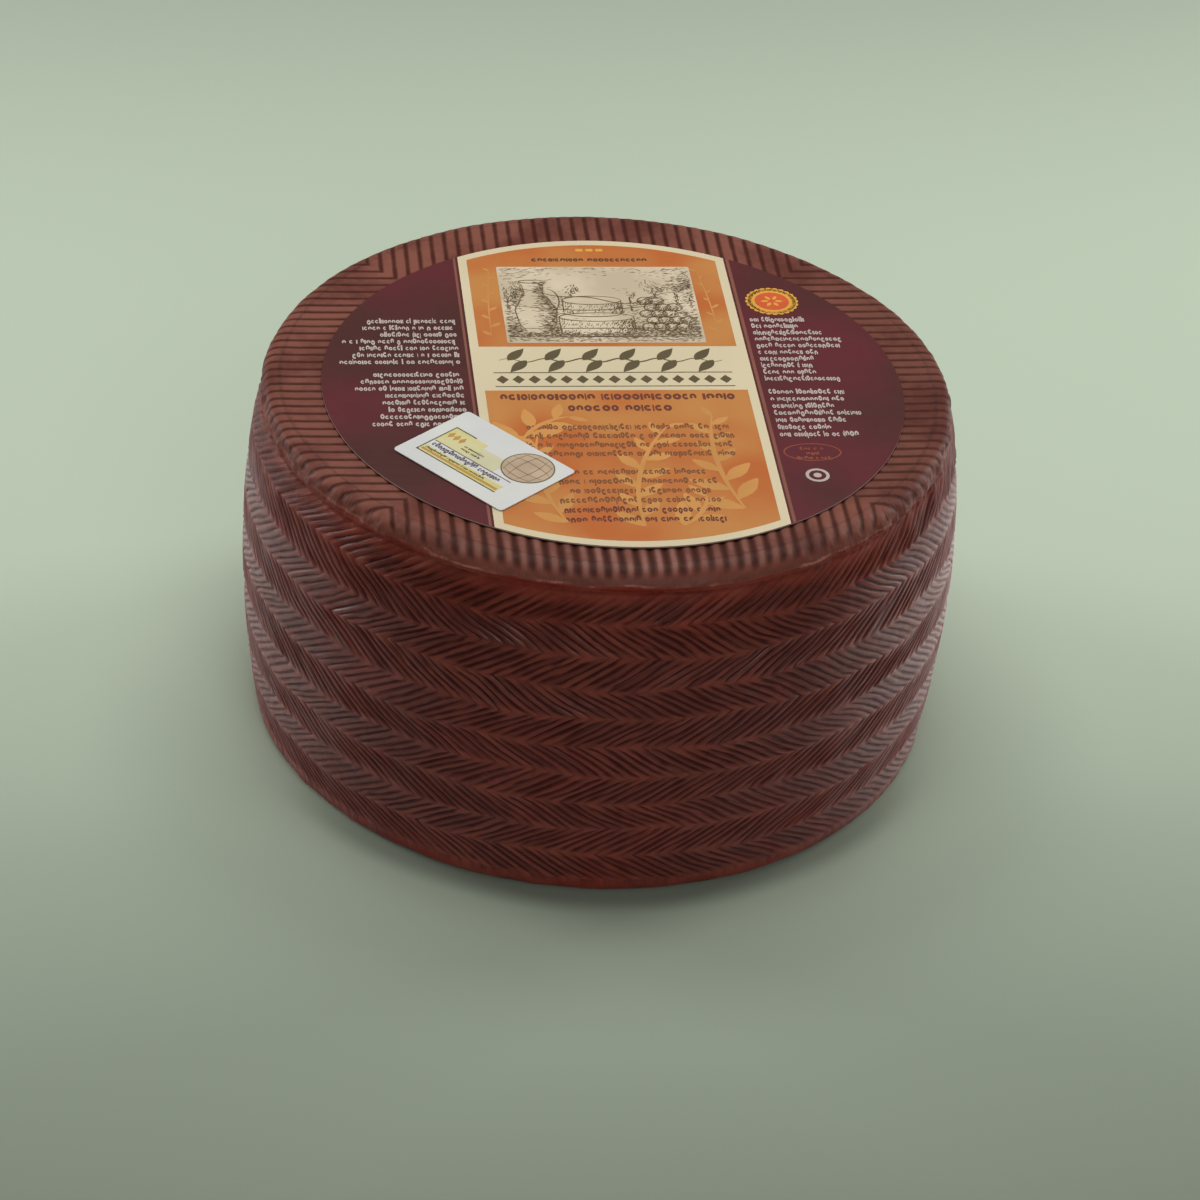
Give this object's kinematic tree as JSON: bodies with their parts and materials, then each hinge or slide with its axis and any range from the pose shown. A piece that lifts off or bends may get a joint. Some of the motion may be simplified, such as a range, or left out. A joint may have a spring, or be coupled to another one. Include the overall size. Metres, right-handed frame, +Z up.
{
  "type": "manchego cheese",
  "caption": "Whole uncut wheel of aged manchego cheese, its dark rind pressed in a plait round the side and in ridges on both faces, with a round paper label and a sticker.",
  "frame": {"origin": "On the surface that the cheese rests on, under the middle of the wheel.", "axes": "+Z is up along the wheel's axis. The label's print reads with its top towards +Y and its right side towards +X, so the front is -Y."},
  "size_m": [0.2, 0.2, 0.104],
  "materials": {
    "rind": "dark brown coated cheese rind, satin to glossy",
    "label_paper": "printed coated paper, satin",
    "sticker_paper": "white coated paper, satin"
  },
  "bodies": {
    "root": {"cheese_wheel": "rind", "top_label": "label_paper", "paper_sticker": "sticker_paper"}
  },
  "joints": []
}
